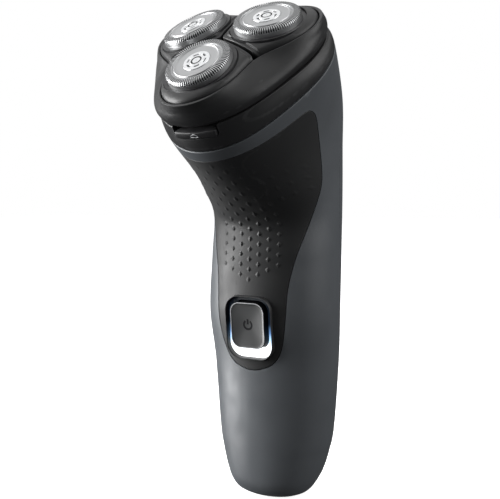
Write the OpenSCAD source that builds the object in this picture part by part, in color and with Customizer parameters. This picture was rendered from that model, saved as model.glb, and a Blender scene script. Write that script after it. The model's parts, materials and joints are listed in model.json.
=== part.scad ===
// Electric shaver: an upright handle with a tilted head that carries three rotary cutters.
// Millimetres. +Z is up and the front faces -Y. The origin lies on the flat foot under the handle.
// The head has its own frame: its Z is the head's normal and its -Y points to the front cap.

/* [Handle] */

// Wall thickness of the two handle shells
wall = 2.2; // [1.8:0.1:2.4]
// Thickness of the soft front grip
grip_t = 0.9; // [0.7:0.1:1]
// Depth plane where the front and rear shells meet
split_y = 3; // [2.9:0.05:3.05]

/* [Head] */

// Tilt of the shaving head toward the front, in degrees
head_tilt = 38.7; // [38.5:0.1:38.9]
// Outward tilt of each cap on the head, in degrees
cap_tilt = 7; // [6.5:0.5:7.5]
// Distance from the head's middle to the middle of each cap
cap_dist = 15.35; // [15.3:0.05:15.4]
// Outer radius of a cap's skirt
cap_r = 10.45; // [10.2:0.05:10.45]
// Number of hair slots in each cap
cap_slots = 40; // [24:2:60]
// Number of blades on each cutter
blades = 9; // [6:1:15]
// Width of the gaps between the three floating pods
pod_gap = 1; // [0.9:0.1:1.4]

/* [Drive] */

// Teeth on the motor pinion
pinion_teeth = 12; // [12:1:12]
// Teeth on each drive gear
gear_teeth = 45; // [45:1:45]
// Radius of the motor can
motor_r = 11.8; // [10:0.1:11.8]

/* [Button] */

// Width of the power button
button_w = 12.2; // [11:0.1:12.2]
// Height of the power button
button_h = 14.8; // [13:0.1:14.8]

/* [Hidden] */

$fn = 48;
eps = 0.01;
around = 40;
head_c = [0, -35.56, 150.09];
gear_module = 0.5;
gear_dist = gear_module * (pinion_teeth + gear_teeth) / 2;
hinge_y = 30;
hinge_n = -11.5;
pivot_z = -8.3;
inlet_y = -3.9;

shell_grey = "#55585c";
soft_black = "#1d1e20";
gloss_black = "#141517";
steel = "#c9ccd0";

// Cross-sections of the handle from the foot up: front y and z, back y and z, half width,
// front and back squareness, and how three-lobed the outline is.
rows = [
  [-10.8, 0.3, 3.6, 0.3, 9.8, 2.1, 2.3, 0],
  [-13.2, 1.8, 6.0, 1.8, 12.9, 2.1, 2.3, 0],
  [-14.8, 4.6, 8.4, 4.6, 15.1, 2.1, 2.3, 0],
  [-15.5, 8.6, 11.0, 8.8, 17.0, 2.1, 2.35, 0],
  [-16.0, 14.5, 12.6, 15.0, 18.7, 2.1, 2.4, 0],
  [-16.4, 22.0, 13.9, 23.0, 20.1, 2.1, 2.4, 0],
  [-17.2, 45.0, 14.8, 46.0, 21.8, 2.1, 2.4, 0],
  [-20.0, 62.0, 14.9, 64.0, 22.7, 2.1, 2.4, 0],
  [-18.6, 80.0, 16.4, 84.0, 22.5, 2.1, 2.4, 0],
  [-18.2, 91.5, 18.5, 104.0, 22.1, 2.1, 2.4, 0],
  [-25.2, 99.0, 20.4, 122.0, 22.6, 2.1, 2.3, 0],
  [-34.0, 105.5, 17.3, 141.0, 24.2, 2.05, 2.2, 0.3],
  [-45.2, 114.0, -2.7, 156.8, 28.7, 2.0, 2.0, 1],
  [-50.7, 120.4, -5.1, 159.8, 27.5, 2.0, 2.0, 1],
  [-53.9, 124.0, -6.6, 161.7, 26.8, 2.0, 2.0, 1]
];

// Head shell outlines from the seam up: normal height, slope, radius, lobe, oval, shift.
shell_rows = [
  [-12.3, 0.036, 27.9, 0.075, 0.045, 1.85],
  [-11.7, 0.033, 28.6, 0.077, 0.045, 1.8],
  [-10.2, 0.028, 28.9, 0.09, 0.035, 1.5],
  [-8.6, 0.02, 28.3, 0.12, 0.025, 1.2],
  [-7.2, 0.01, 27.0, 0.17, 0.012, 0.7],
  [-6.0, 0.004, 25.7, 0.225, 0, 0.2],
  [-5.0, 0, 24.7, 0.268, 0, 0]
];

// Pod dome outlines from the hidden lower edge up.
pod_rows = [
  [-9.0, 0, 23.4, 0.268, 0, 0],
  [-5.0, 0, 23.6, 0.268, 0, 0],
  [-4.3, 0, 23.3, 0.262, 0, 0],
  [-3.6, 0, 22.5, 0.25, 0, 0],
  [-3.0, 0, 21.0, 0.23, 0, 0],
  [-2.45, 0, 18.0, 0.19, 0, 0],
  [-1.65, 0, 12.0, 0.1, 0, 0],
  [-1.1, 0, 5.0, 0, 0, 0]
];

// Right half of the soft grip's outline, seen from the front: x and z.
grip_half = [
  [4.3, 44.0], [6.97, 46.1], [9.3, 48.8], [11.0, 52.7], [12.0, 57.3], [12.65, 62.65], [12.86, 68.0],
  [13.2, 72.2], [13.9, 76.5], [15.1, 81.7], [16.6, 86.9], [17.7, 91.1], [18.9, 95.5], [20.2, 99.6],
  [21.1, 103.2], [21.9, 109.1], [22.7, 116.8], [23.5, 121.2], [24.3, 124.4], [24.1, 125.6],
  [22.6, 124.1], [20.0, 121.0], [16.0, 117.2], [12.4, 114.7], [8.4, 112.9], [3.9, 111.7]
];

function spline(a, b, c, d, t) =
  b * (2 * pow(t, 3) - 3 * pow(t, 2) + 1) + (c - a) / 2 * (pow(t, 3) - 2 * pow(t, 2) + t)
  + c * (3 * pow(t, 2) - 2 * pow(t, 3)) + (d - b) / 2 * (pow(t, 3) - pow(t, 2));

function row_at(u) =
  let (i = min(floor(u), len(rows) - 2), last = len(rows) - 1)
  spline(rows[max(i - 1, 0)], rows[i], rows[i + 1], rows[min(i + 2, last)], u - i);

function bow(v, m) = sign(v) * pow(abs(v), 2 / m);

// One closed outline across the handle, drawn in by d.
function section(r, d) =
  let (
    half = [r[2] - r[0], r[3] - r[1]] / 2,
    depth = norm(half),
    dir = half / depth,
    mid = [r[2] + r[0], r[3] + r[1]] / 2
  )
  [for (j = [0:around - 1])
    let (
      a = 360 * j / around,
      m = cos(a) > 0 ? r[5] : r[6],
      lobe = 1 + 0.075 * r[7] * cos(3 * a),
      x = (r[4] - d) * bow(sin(a), m) * lobe,
      v = (depth - d) * (0.075 * r[7] - bow(cos(a), m) * lobe)
    )
    [x, mid[0] + v * dir[0], mid[1] + v * dir[1]]];

// One closed outline across the head, in the head's frame, drawn in by d.
function outline(r, d) =
  [for (j = [0:around - 1])
    let (
      a = 360 * j / around,
      rad = (r[2] - d) * (1 + r[3] * cos(3 * a) + r[4] * cos(2 * a)),
      y = r[5] - rad * cos(a)
    )
    [rad * sin(a), y, r[0] + r[1] * y]];

// One third of the head's outline, closed at the middle and set back by half the gap.
function pod_ring(r) =
  let (back = pod_gap / 2 / sin(60))
  [
    for (a = [-60:7.5:60])
      let (rad = r[2] * (1 + r[3] * cos(3 * a)) - back * cos(a))
      [rad * sin(a), -back - rad * cos(a), r[0]],
    [0, -back, r[0]]
  ];

function side_faces(n, i, j) =
  let (a = i * n + j, b = i * n + (j + 1) % n)
  [[a, a + n, b + n], [a, b + n, b]];

function band_faces(n, m, i, j) =
  let (a = i * n + j, b = i * n + (j + 1) % n, c = (i + 1) % m * n + j, d = (i + 1) % m * n + (j + 1) % n)
  [[a, c, d], [a, d, b]];

module skin(rings) {
  n = len(rings[0]);
  m = len(rings);
  points = [for (ring = rings) each ring];
  walls = [for (i = [0:m - 2], j = [0:n - 1]) each side_faces(n, i, j)];
  low = [[for (j = [0:n - 1]) j]];
  top = [[for (j = [n - 1:-1:0]) (m - 1) * n + j]];
  polyhedron(points = points, faces = concat(walls, low, top), convexity = 6);
}

// A closed band through the rings, with the last joined to the first.
module band(rings) {
  n = len(rings[0]);
  m = len(rings);
  polyhedron(
    points = [for (ring = rings) each ring],
    faces = [for (i = [0:m - 1], j = [0:n - 1]) each band_faces(n, m, i, j)],
    convexity = 6
  );
}

module handle_form(d, from, to, steps) {
  skin([for (i = [0:steps]) section(row_at(from + (to - from) * i / steps), d)]);
}

module in_head() {
  translate(head_c) rotate([head_tilt, 0, 0]) children();
}

module at_cap(k) {
  in_head() rotate([0, 0, 120 * k]) translate([0, -cap_dist, 0]) rotate([cap_tilt, 0, 0]) children();
}

module at_gear(k) {
  in_head() rotate([0, 0, 120 * k]) translate([0, -gear_dist, 0]) children();
}

module in_button() {
  translate([0, -19.1, 60]) rotate([5, 0, 0]) children();
}

// A round bar from n0 to n1 on the Z axis.
module bar(r, n0, n1) {
  translate([0, 0, n0]) cylinder(r = r, h = n1 - n0);
}

module tube(r, r_in, n0, n1) {
  difference() {
    bar(r, n0, n1);
    bar(r_in, n0 - 1, n1 + 1);
  }
}

// A block from one corner to the other.
module block(a, b) {
  translate(a) cube(b - a);
}

// A round bar along Y from y0 to y1.
module rod_y(r, x, z, y0, y1) {
  translate([x, y0, z]) rotate([-90, 0, 0]) cylinder(r = r, h = y1 - y0);
}

// A round bar along X from x0 to x1.
module rod_x(r, y, z, x0, x1) {
  translate([x0, y, z]) rotate([0, 90, 0]) cylinder(r = r, h = x1 - x0);
}

module rounded(w, h, r) {
  square([w - 2 * r, h], center = true);
  square([w, h - 2 * r], center = true);
  for (x = [-1, 1], y = [-1, 1]) {
    translate([x * (w / 2 - r), y * (h / 2 - r)]) circle(r);
  }
}

// A rounded plate facing the front, from depth y0 to y1.
module pad(w, h, r, y0, y1) {
  translate([0, y1, 0]) rotate([90, 0, 0]) linear_extrude(y1 - y0) rounded(w, h, r);
}

module stadium(r, dx, z0, z1) {
  translate([0, inlet_y, z0]) linear_extrude(z1 - z0) {
    square([2 * dx, 2 * r], center = true);
    for (x = [-1, 1]) {
      translate([x * dx, 0]) circle(r);
    }
  }
}

module grip_prism(gap) {
  right = [
    for (p = grip_half)
      let (end = p[1] < 50 ? 1 : p[1] > 110 ? -1 : 0)
      [p[0] - gap, p[1] + 1.6 * gap * end]
  ];
  left = [for (i = [len(right) - 1:-1:0]) [-right[i][0], right[i][1]]];
  translate([0, -5, 0]) rotate([90, 0, 0]) linear_extrude(60) polygon(concat(right, left));
}

module screw_places() {
  for (x = [-11.5, 11.5], z = [30, 92]) {
    translate([x, 0, z]) children();
  }
}

module button_window(gap) {
  in_button() translate([0, -0.6, -1.1]) pad(17.3 + gap, 20.3 + gap, 5.2, -8, 7);
}

module front_housing() {
  color(shell_grey) difference() {
    union() {
      difference() {
        handle_form(0, 0, 12, 26);
        handle_form(wall, 1.35, 12.6, 24);
      }
      intersection() {
        handle_form(1.3, 1, 12, 22);
        screw_places() rod_y(3.2, 0, 0, -30, 1.4);
      }
    }
    block([-60, split_y - 0.05, -5], [60, 60, 200]);
    difference() {
      grip_prism(0);
      handle_form(grip_t + 0.08, 3.5, 12.5, 23);
    }
    button_window(0);
    screw_places() rod_y(1.24, 0, 0, -10, 2);
    stadium(5.1, 2.6, -1, 12);
  }
}

module rear_housing() {
  color(shell_grey) difference() {
    union() {
      difference() {
        handle_form(0, 0, 12, 26);
        handle_form(wall, 1.35, 12.6, 24);
      }
      intersection() {
        handle_form(0.3, 1, 12, 22);
        screw_places() rod_y(3.4, 0, 0, 3.1, 40);
      }
    }
    block([-60, -80, -5], [60, split_y + 0.05, 200]);
    screw_places() rod_y(1.35, 0, 0, 0, 40);
    screw_places() rod_y(2.65, 0, 0, 8, 40);
    stadium(5.1, 2.6, -1, 12);
  }
}

module grip_panel() {
  color(soft_black) difference() {
    intersection() {
      handle_form(0, 4, 12, 22);
      grip_prism(0.08);
    }
    handle_form(grip_t, 3.5, 12.5, 23);
    button_window(0.1);
  }
}

module neck_ring() {
  color(gloss_black) difference() {
    handle_form(0, 12.03, 13, 3);
    handle_form(2.2, 11.6, 13.5, 4);
    in_head() block([-7.5, -40, -17.5], [7.5, -20, -10]);
    in_head() block([-8.4, 26.6, -15.6], [8.4, 40, -5]);
  }
}

module chamber_deck() {
  color(gloss_black) difference() {
    intersection() {
      handle_form(2.3, 11.8, 13.4, 4);
      in_head() block([-40, -40, -15.6], [40, 40, -14.2]);
    }
    for (k = [0:2]) {
      at_gear(k) bar(2.3, -20, -10);
    }
    in_head() block([-9, -40, -20], [9, -23.3, -10]);
    in_head() block([-8.4, 26.6, -20], [8.4, 40, -5]);
  }
}

module charging_socket() {
  color(soft_black) difference() {
    union() {
      stadium(5, 2.6, 0, 3.2);
      stadium(4.9, 2.6, 3.2 - eps, 12.6);
    }
    stadium(2.9, 1.7, -1, 10.5);
    for (x = [-1.9, 1.9]) {
      translate([x, inlet_y, 0]) bar(0.93, 5, 20);
    }
  }
}

module charging_pins() {
  color(steel) for (x = [-1.9, 1.9]) {
    translate([x, inlet_y, 0]) {
      bar(0.9, 5.2, 12.65);
    }
  }
}

module inner_frame() {
  color("#8b9198") difference() {
    union() {
      block([-8.2, -6.4, 12.7], [8.2, -4.8, 98]);
      block([-8.2, -4.8, 12.7], [8.2, 8, 13.9]);
      for (s = [-1, 1], z = [30, 92]) {
        translate([s * 7.6, 0, z]) block([-0.6, -4.8, -4], [0.6, split_y + 0.05, 4]);
        translate([s * 11.5, 0, z]) block([-3.6, 1.45, -4], [3.6, split_y + 0.05, 4]);
      }
      for (x = [-5.5, 5.5], z = [20, 80]) {
        rod_y(1.5, x, z, -7.98, -6.4);
      }
    }
    screw_places() rod_y(1.35, 0, 0, -3, 6);
  }
}

module battery() {
  color("#3f6fae") union() {
    translate([0, 3, 0]) bar(7, 14.4, 63.4);
    translate([0, 3, 0]) bar(2.6, 63.4 - eps, 64.2);
  }
}

module battery_tabs() {
  color(steel) {
    block([-2.5, -4.6, 13.95], [2.5, 6, 14.35]);
    difference() {
      block([-2.5, -4.7, 64.25], [2.5, 6, 64.65]);
      translate([0, 3, 0]) bar(0.6, 60, 70);
    }
  }
}

module circuit_board() {
  color("#1f6b45") block([-7.8, -9.6, 16], [7.8, -8, 84]);
}

module board_parts() {
  color("#26282b") {
    block([-4, -11.2, 24], [4, -9.65, 31]);
    block([3.5, -12.2, 70], [7.3, -9.65, 78]);
    block([-6.5, -11.5, 36], [-3.5, -9.65, 40]);
  }
}

module tact_switch() {
  color("#2b2d31") union() {
    block([-3, -12.9, 57.6], [3, -9.65, 63.6]);
    rod_y(1.3, 0, 60.6, -13.6, -12.8);
  }
}

module status_leds() {
  color("#f2f6ff") for (x = [-5.2, 5.2]) {
    translate([x, 0, 50.5]) block([-1, -11, -1], [1, -9.65, 1]);
  }
}

module button_bezel() {
  color(gloss_black) in_button() difference() {
    translate([0, 0, -1.1]) difference() {
      pad(17.2, 20.2, 5.15, -0.3, 4.6);
      pad(16.3, 19.3, 4.85, -2, 3.85);
    }
    pad(14.2, 16.6, 3.9, 3, 6);
  }
}

module light_ring() {
  color("#eef4ff") in_button() difference() {
    translate([0, 0, -1.1]) pad(16.1, 19.1, 4.8, 1.4, 3.6);
    pad(button_w + 0.7, button_h + 0.7, 3.6, 0, 5);
  }
}

module power_button() {
  color(gloss_black) in_button() union() {
    pad(button_w, button_h, 3.3, -0.9, 3.8);
    pad(button_w + 1.2, button_h + 1, 3.5, 3.75, 4.5);
    rod_y(2, 0, 0, 4.4, 4.6);
  }
}

module drive_chassis() {
  color("#9a9fa6") union() {
    in_head() {
      tube(13.3, motor_r + 0.06, -45.5, -24);
      tube(13.3, 4, -47.2, -45.45);
      for (a = [60, 180, 300]) {
        rotate([0, 0, a]) block([-3, -19.2, -26.5], [3, -12.6, -23.45]);
      }
    }
    block([-8, -6.4, 98.05], [8, -4.8, 113.2]);
  }
}

module motor() {
  color("#b5b9bf") in_head() difference() {
    union() {
      bar(motor_r, -45.4, -23.45);
      bar(3, -23.5, -21.6);
      bar(3.4, -46.9, -45.35);
    }
    bar(1.05, -30, -20);
  }
}

module gear_plate() {
  color("#d7d9dc") in_head() difference() {
    union() {
      bar(22.9, -23.4, -21.8);
      for (k = [0:2]) {
        rotate([0, 0, 120 * k]) {
          translate([0, -gear_dist, 0]) bar(1.9, -21.9, -20.6);
          translate([0, 20.4, 0]) bar(2.2, -21.9, -15.65);
        }
      }
    }
    bar(3.05, -24, -21);
    for (k = [0:2]) {
      rotate([0, 0, 120 * k]) translate([0, -gear_dist, 0]) bar(1.02, -24, -20);
    }
  }
}

module gear_axles() {
  color(steel) for (k = [0:2]) {
    at_gear(k) bar(1, -23.35, -14.8);
  }
}

module housing_screws() {
  color(steel) screw_places() {
    rod_y(1.2, 0, 0, -8, 8.1);
    difference() {
      rod_y(2.4, 0, 0, 8.05, 9.8);
      block([-1.9, 9.2, -0.35], [1.9, 10, 0.35]);
      block([-0.35, 9.2, -1.9], [0.35, 10, 1.9]);
    }
  }
}

module release_spring() {
  color(steel) in_head() union() {
    block([-5, -23.9, -17.4], [5, -23.5, -15.7]);
    block([-5, -23.9, -16.1], [5, -21, -15.7]);
  }
}

module hinge_bracket() {
  color(gloss_black) in_head() difference() {
    union() {
      block([-8.2, 27, -15.25], [8.2, 29.4, -13.5]);
      for (s = [-1, 1]) {
        translate([s * 6.6, 0, 0]) {
          block([-1.6, 28.6, -13.6], [1.6, 31.4, hinge_n]);
          rod_x(1.6, hinge_y, hinge_n, -1.6, 1.6);
        }
      }
    }
    rod_x(0.82, hinge_y, hinge_n, -10, 10);
  }
}

module hinge_pin() {
  color(steel) in_head() rod_x(0.8, hinge_y, hinge_n, -8.1, 8.1);
}

module release_button() {
  color(gloss_black) in_head() union() {
    intersection() {
      block([-7.2, -31, -17.1], [7.2, -25.2, -14.5]);
      bar(30.4, -20, -10);
    }
    block([-8.4, -25.85, -17.2], [8.4, -25.2, -14.3]);
  }
}

// Half the angle of a tooth at radius r, for an involute tooth.
function roll(r, base) = r > base ? tan(acos(base / r)) * 180 / PI - acos(base / r) : 0;

module gear_blank(teeth, tip, root, play, h) {
  pitch = gear_module * teeth / 2;
  base = pitch * cos(20);
  wide = 90 / teeth * (1 - play) + roll(pitch, base);
  radii = [root, max(root + 0.1, base), (pitch + base) / 2, pitch, (pitch + tip) / 2, tip];
  linear_extrude(h) polygon([
    for (t = [0:teeth - 1]) each concat(
      [for (r = radii) let (a = 360 * t / teeth - wide + roll(r, base)) [r * cos(a), r * sin(a)]],
      [for (i = [len(radii) - 1:-1:0])
        let (r = radii[i], a = 360 * t / teeth + wide - roll(r, base))
        [r * cos(a), r * sin(a)]]
    )
  ]);
}

module motor_pinion() {
  color("#e2c46a") in_head() difference() {
    translate([0, 0, -20.5]) gear_blank(pinion_teeth, 3.42, 2.45, 0.16, 2.9);
    bar(1, -25, -10);
  }
}

module motor_shaft() {
  color(steel) in_head() bar(0.98, -29.5, -17.3);
}

module drive_gear(k) {
  color("#e9e6dc") at_gear(k) difference() {
    union() {
      translate([0, 0, -20.3]) rotate([0, 0, 90 + 180 / gear_teeth]) {
        gear_blank(gear_teeth, 11.6, 10.65, 0.16, 2.4);
      }
      bar(2.8, -19.4, -16.6);
    }
    bar(1.06, -25, -17.5);
    bar(1.95, -17.9, -10);
  }
}

module drive_spindle(k) {
  color("#e9e6dc") at_gear(k) difference() {
    union() {
      bar(1.9, -17.85, -10.1);
      block([-2, -0.7, -10.2], [2, 0.7, -6.9]);
    }
    bar(1.06, -19, -14.5);
  }
}

module head_shell() {
  mouth = [23.9, 0.268, 0, 0];
  color(gloss_black) in_head() difference() {
    union() {
      band([
        for (r = shell_rows) outline(r, 0),
        outline([-5, 0, each mouth], 0),
        outline([-8, 0, each mouth], 0),
        for (i = [3:-1:0]) outline(shell_rows[i], 1.7)
      ]);
      intersection() {
        skin([for (i = [0:4]) outline(shell_rows[i], 0.6)]);
        tube(40, 21.8, -9.85, -9);
      }
    }
    block([-8.6, 25, -15], [8.6, 40, -9.4]);
  }
}

module pod_carrier() {
  color("#33363a") union() {
    in_head() difference() {
      union() {
        bar(23, -10.9, -9.9);
        block([-4.6, 20, -10.9], [4.6, hinge_y, -9.9]);
        rod_x(1.6, hinge_y, hinge_n, -4.7, 4.7);
      }
      for (k = [0:2]) {
        rotate([0, 0, 120 * k]) translate([0, -14.25, 0]) bar(9.2, -12, -9);
      }
      rod_x(0.84, hinge_y, hinge_n, -10, 10);
      bar(1.56, -12, -9);
    }
    for (k = [0:2]) {
      at_cap(k) {
        for (s = [-1, 1]) {
          difference() {
            translate([s * 12.7, 0, 0]) block([-0.65, -1.8, -10.4], [0.65, 1.8, -6.7]);
            rod_x(0.86, 0, pivot_z, -20, 20);
          }
        }
      }
    }
  }
}

module retaining_frame() {
  color("#3f4348") in_head() difference() {
    union() {
      bar(4.6, -12.2, -11.1);
      for (k = [0:2]) {
        rotate([0, 0, 120 * k]) {
          translate([0, -gear_dist, 0]) bar(6.6, -12.2, -11.1);
          block([-1.6, -9, -12.2], [1.6, 0, -11.1]);
          block([-2, -22.6, -12.2], [2, -20, -11.1]);
        }
      }
    }
    for (k = [0:2]) {
      rotate([0, 0, 120 * k]) translate([0, -gear_dist, 0]) bar(4.8, -13, -10);
    }
    bar(1.56, -13, -10);
  }
}

module lock_knob() {
  color("#6f757c") in_head() union() {
    bar(4.3, -13, -12.35);
    block([-4, -0.8, -13.7], [4, 0.8, -12.9]);
    bar(1.5, -12.4, -9.4);
  }
}

module head_pod(k) {
  color(gloss_black) difference() {
    in_head() rotate([0, 0, 120 * k]) skin([for (r = pod_rows) pod_ring(r)]);
    in_head() block([-40, -40, -12], [40, 40, -7.3]);
    at_cap(k) bar(11.75, -12, 4);
    for (s = [-1, 1]) {
      at_cap(k) translate([s * 13, 0, 0]) block([-2, -2.4, -12], [2, 2.4, -6.2]);
    }
  }
}

module cap_seat(k) {
  color(soft_black) at_cap(k) union() {
    tube(11.7, cap_r + 0.08, -7, -2.5);
    tube(11.7, 9.75, -7, -6.3);
    for (s = [-1, 1]) {
      translate([s * 11.2, 0, 0]) block([-0.5, -1.8, -9.2], [0.5, 1.8, -6.9]);
      translate([s * 12.2, 0, 0]) rod_x(0.8, 0, pivot_z, -1.1, 1.1);
    }
  }
}

module shaving_cap(k) {
  color(steel) at_cap(k) difference() {
    rotate_extrude() polygon([
      [4.3, -0.5], [7.2, -0.5], [7.2, -0.45], [cap_r - 0.45, -0.45], [cap_r - 0.45, -5.2],
      [cap_r, -5.2], [cap_r, -0.3], [cap_r - 0.3, 0], [7.9, 0], [7.8, -0.22], [7.4, -0.22],
      [7.3, 0.12], [6.9, 0.12], [6.7, -0.12], [4.3, -0.12]
    ]);
    for (i = [0:cap_slots - 1]) {
      rotate([0, 0, 360 * i / cap_slots]) block([8.25, -0.13, -1], [cap_r - 0.65, 0.13, 1]);
    }
  }
}

module cap_hub(k) {
  color("#e6e8ea") at_cap(k) difference() {
    union() {
      bar(4.25, -0.5, 0.05);
      bar(2.2, 0, 0.14);
    }
    for (i = [0:2]) {
      rotate([0, 0, 120 * i]) block([2.7, -1.1, -0.15], [3.2, 1.1, 1]);
    }
  }
}

module cutter(k) {
  color("#aeb3b9") at_cap(k) difference() {
    union() {
      bar(3.2, -8.2, -2);
      tube(9.7, 7.6, -2.2, -1.7);
      for (i = [0:2]) {
        rotate([0, 0, 120 * i + 60]) block([2.5, -1.2, -2.6], [8.2, 1.2, -1.9]);
      }
      for (i = [0:blades - 1]) {
        rotate([0, 0, 360 * i / blades]) block([8.2, -0.25, -1.8], [9.65, 0.25, -0.58]);
      }
    }
    block([-2.5, -1.2, -10], [2.5, 1.2, -5.2]);
  }
}

front_housing();
rear_housing();
grip_panel();
neck_ring();
chamber_deck();
charging_socket();
charging_pins();
inner_frame();
battery();
battery_tabs();
circuit_board();
board_parts();
tact_switch();
status_leds();
button_bezel();
light_ring();
power_button();
drive_chassis();
motor();
gear_plate();
gear_axles();
housing_screws();
release_spring();
hinge_bracket();
hinge_pin();
release_button();
motor_pinion();
motor_shaft();
drive_gear(0);  // drive_gear_1
drive_gear(1);  // drive_gear_2
drive_gear(2);  // drive_gear_3
drive_spindle(0);  // drive_spindle_1
drive_spindle(1);  // drive_spindle_2
drive_spindle(2);  // drive_spindle_3
head_shell();
pod_carrier();
retaining_frame();
lock_knob();
head_pod(0);  // head_pod_1
head_pod(1);  // head_pod_2
head_pod(2);  // head_pod_3
cap_seat(0);  // cap_seat_1
cap_seat(1);  // cap_seat_2
cap_seat(2);  // cap_seat_3
shaving_cap(0);  // shaving_cap_1
shaving_cap(1);  // shaving_cap_2
shaving_cap(2);  // shaving_cap_3
cap_hub(0);  // cap_hub_1
cap_hub(1);  // cap_hub_2
cap_hub(2);  // cap_hub_3
cutter(0);  // cutter_1
cutter(1);  // cutter_2
cutter(2);  // cutter_3
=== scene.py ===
"""Electric shaver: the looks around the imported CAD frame.

Lengths in the shape code are millimetres, in the CAD frame, and become metres when a piece is made.
The handle, the head and the pods follow the same sections as the CAD model, at a finer pitch.
"""

import json
import math

import bpy
import numpy as np
from mathutils import Matrix, Vector
from mathutils.kdtree import KDTree


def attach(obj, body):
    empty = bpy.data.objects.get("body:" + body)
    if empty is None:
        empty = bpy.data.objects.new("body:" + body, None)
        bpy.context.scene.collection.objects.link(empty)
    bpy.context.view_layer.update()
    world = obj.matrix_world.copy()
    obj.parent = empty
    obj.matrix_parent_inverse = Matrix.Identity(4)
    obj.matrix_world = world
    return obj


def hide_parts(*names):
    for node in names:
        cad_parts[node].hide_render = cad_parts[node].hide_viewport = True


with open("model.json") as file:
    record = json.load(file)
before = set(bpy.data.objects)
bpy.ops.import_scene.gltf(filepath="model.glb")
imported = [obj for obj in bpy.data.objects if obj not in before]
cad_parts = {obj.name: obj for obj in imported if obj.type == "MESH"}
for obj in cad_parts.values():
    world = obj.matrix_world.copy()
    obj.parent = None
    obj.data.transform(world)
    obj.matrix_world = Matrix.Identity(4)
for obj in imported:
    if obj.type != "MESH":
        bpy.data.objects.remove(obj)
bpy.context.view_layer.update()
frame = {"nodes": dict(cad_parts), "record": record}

# ---------------------------------------------------------------- sizes and shape rules

HEAD_TILT = math.radians(38.7)
CAP_TILT = math.radians(7)
HEAD_CENTRE = np.array([0, -35.56, 150.09])
CAP_DIST = 15.35
WALL = 2.2
GRIP_THICK = 0.9
SPLIT_Y = 3.0
POD_GAP = 1.0
WELL_R = 11.75
INLET_Y = -3.9
BUTTON_AT = np.array([0, -19.35, 59.3])
BUTTON_TILT = math.radians(5)
RECESS_Z = -0.95
BUTTON_FACE = -0.9
LED_FACE = 1.4
LED_SPAN = (-10.2, 9.2)  # foot and top of the lit ring's glow and its painted shade, from the button's middle
WINDOW = (17.3, 21.2, 5.2)  # width, height, corner radius
KEY_N = -15.98  # middle of the release key along the head's normal
KEY_HALF = (7.15, 1.08)  # half width, half height
KEY_FRONT_R = 30.35
HEAD_AROUND = 360  # points in each ring of the head shell
SLOT_COUNT = 90
COLUMNS_PER_SLOT = 8
HUB_ARCS = 6
COLUMNS_PER_ARC = 40
WORLD_LIGHT = 0.1
FOCAL_WIDTHS = 1.72  # focal length in picture widths

# Handle sections: front y, z, back y, z, half width, front and back squareness, lobe weight.
HANDLE_ROWS = np.array([
    [-10.8, 0.3, 3.6, 0.3, 9.8, 2.1, 2.3, 0],
    [-13.2, 1.8, 6.0, 1.8, 12.9, 2.1, 2.3, 0],
    [-14.8, 4.6, 8.4, 4.6, 15.1, 2.1, 2.3, 0],
    [-15.5, 8.6, 11.0, 8.8, 17.0, 2.1, 2.35, 0],
    [-16.0, 14.5, 12.6, 15.0, 18.7, 2.1, 2.4, 0],
    [-16.4, 22.0, 13.9, 23.0, 20.1, 2.1, 2.4, 0],
    [-17.2, 45.0, 14.8, 46.0, 21.8, 2.1, 2.4, 0],
    [-20.0, 62.0, 14.9, 64.0, 22.7, 2.1, 2.4, 0],
    [-18.6, 80.0, 16.4, 84.0, 22.5, 2.1, 2.4, 0],
    [-18.2, 91.5, 18.5, 104.0, 22.1, 2.1, 2.4, 0],
    [-25.2, 99.0, 20.4, 122.0, 22.6, 2.1, 2.3, 0],
    [-34.0, 105.5, 17.3, 141.0, 24.2, 2.05, 2.2, 0.3],
    [-45.2, 114.0, -2.7, 156.8, 28.7, 2.0, 2.0, 1],
    [-50.7, 120.4, -5.1, 159.8, 27.5, 2.0, 2.0, 1],
    [-53.9, 124.0, -6.6, 161.7, 26.8, 2.0, 2.0, 1],
])
# Head shell outlines: normal height, slope, radius, lobe, oval, shift.
SHELL_ROWS = np.array([
    [-12.3, 0.036, 27.9, 0.075, 0.045, 1.85],
    [-11.7, 0.033, 28.6, 0.077, 0.045, 1.8],
    [-10.2, 0.028, 28.9, 0.09, 0.035, 1.5],
    [-8.6, 0.02, 28.3, 0.12, 0.025, 1.2],
    [-7.2, 0.01, 27.0, 0.17, 0.012, 0.7],
    [-6.0, 0.004, 25.7, 0.225, 0, 0.2],
    [-5.0, 0, 24.7, 0.268, 0, 0],
])
# Pod dome outlines: normal height, radius, lobe.
POD_ROWS = np.array([
    [-5.0, 23.6, 0.268],
    [-4.3, 23.3, 0.262],
    [-3.6, 22.5, 0.25],
    [-3.0, 21.0, 0.23],
    [-2.45, 18.0, 0.19],
    [-1.65, 12.0, 0.1],
    [-1.1, 5.0, 0],
])
# Right half of the soft grip's edge, from the foot's middle round to the top's middle: station, degrees.
GRIP_EDGE = np.array([
    [5.955, 0], [5.96, 4], [5.997, 10.5], [6.057, 17.5], [6.2, 23.95], [6.43, 28.5], [6.71, 31.0],
    [7.03, 32.8], [7.31, 33.6], [7.53, 34.7], [7.76, 37.0], [8.08, 41.2], [8.45, 47.0], [8.77, 52.2],
    [9.1, 58.4], [9.42, 65.0], [9.66, 69.8], [9.905, 72.9], [10.17, 74.3], [10.43, 74.8], [10.81, 75.3],
    [11.155, 75.9], [11.37, 76.2], [11.5, 75.4], [11.62, 72.3], [11.665, 68.4], [11.68, 61.4],
    [11.683, 50], [11.683, 36.4], [11.683, 17], [11.683, 0],
])
GRIP_CORNERS = (5, 23)  # rows of GRIP_EDGE where the foot ends and the top begins
STEPS_PER_KNOT = 40


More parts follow.
